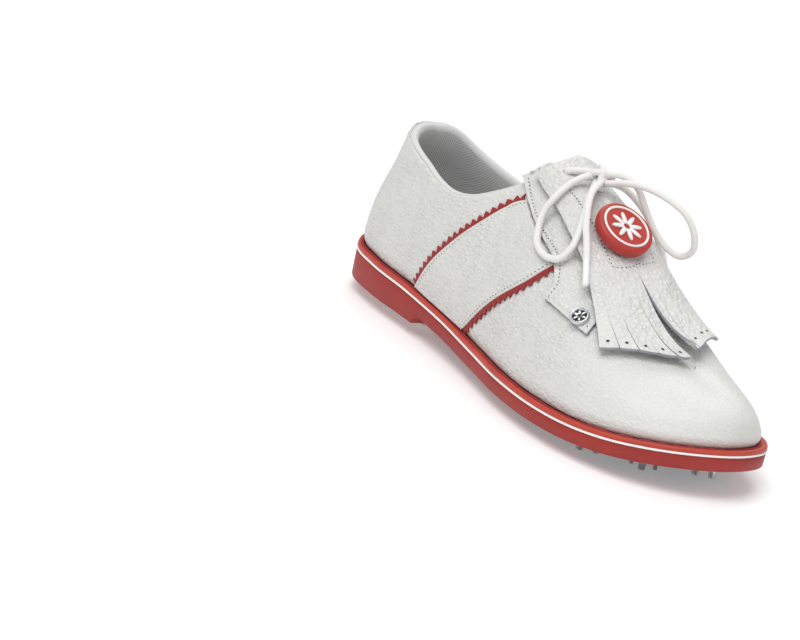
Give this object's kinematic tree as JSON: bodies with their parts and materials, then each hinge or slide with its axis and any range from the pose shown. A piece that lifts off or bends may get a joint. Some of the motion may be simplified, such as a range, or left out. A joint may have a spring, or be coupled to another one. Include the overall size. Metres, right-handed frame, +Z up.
{
  "type": "golf shoe",
  "caption": "Low-cut women's golf shoe: leather upper, fringed kiltie flap held by a bow-tied lace, saddle edged with pinked strips, welted rubber sole with cleat plates.",
  "frame": {"origin": "middle of the sole's length and width, on the plane that the cleats stand on", "axes": "+X from the heel towards the toe, +Y towards the inner (medial) side of this right shoe, +Z up"},
  "size_m": [0.2846, 0.1031, 0.1081],
  "materials": {
    "leather_white": "fine pebbled grain, satin",
    "mesh_white": "knitted spacer mesh",
    "rubber_red": "matte moulded",
    "pinked_red": "matte, cut edge",
    "eva_white": "satin moulded foam",
    "tpu_navy": "translucent, glossy",
    "tpu_clear": "frosted, translucent",
    "cork": "granular",
    "fibre_board": "pressed fibre, matte",
    "steel": "polished",
    "lace": "round braid",
    "plastic_white": "smooth"
  },
  "bodies": {
    "shoe": {"outsole_unit": "rubber_red", "midsole_line": "eva_white", "welt": "rubber_red", "forefoot_cleat_plate": "tpu_navy", "heel_cleat_plate": "tpu_clear", "shank_badge": "rubber_red", "cork_filler": "cork", "shank_stiffener": "steel", "insole_board": "fibre_board", "vamp": "leather_white", "vamp_lining": "mesh_white", "toe_puff": "eva_white", "quarter_lateral": "leather_white", "quarter_medial": "leather_white", "lining": "mesh_white", "heel_counter": "eva_white", "collar_padding": "eva_white", "collar_roll": "leather_white", "heel_tab": "leather_white", "tongue": "leather_white", "saddle_lateral": "leather_white", "pinked_strip_rear_lateral": "pinked_red", "pinked_strip_front_lateral": "pinked_red", "facing_lateral": "leather_white", "saddle_medial": "leather_white", "pinked_strip_rear_medial": "pinked_red", "pinked_strip_front_medial": "pinked_red", "facing_medial": "leather_white", "rivet": "steel", "eyelet_lateral_1": "steel", "eyelet_medial_1": "steel", "lace_row_1": "lace", "eyelet_lateral_2": "steel", "eyelet_medial_2": "steel", "lace_row_2": "lace", "eyelet_lateral_3": "steel", "eyelet_medial_3": "steel", "lace_row_3": "lace", "eyelet_lateral_4": "steel", "eyelet_medial_4": "steel", "lace_row_4": "lace"},
    "kiltie": {"kiltie": "leather_white", "kiltie_backing": "leather_white", "badge_disc": "rubber_red", "badge_ring": "plastic_white", "badge_flower": "plastic_white", "bow_knot": "lace", "bow_run_lateral": "lace", "bow_loop_lateral": "lace", "bow_end_lateral": "lace", "aglet_lateral": "plastic_white", "bow_run_medial": "lace", "bow_loop_medial": "lace", "bow_end_medial": "lace", "aglet_medial": "plastic_white"},
    "footbed": {"footbed": "mesh_white"}
  },
  "joints": [
    {"name": "kiltie_lift", "type": "hinge", "parent": "shoe", "child": "kiltie", "pos_m": [-0.022, 0, 0.096], "axis": [0, -1, 0], "range_deg": [0, 65]},
    {"name": "footbed_lift", "type": "hinge", "parent": "shoe", "child": "footbed", "pos_m": [0.13, 0.0055, 0.0225], "axis": [0, 1, 0], "range_deg": [0, 4]}
  ]
}
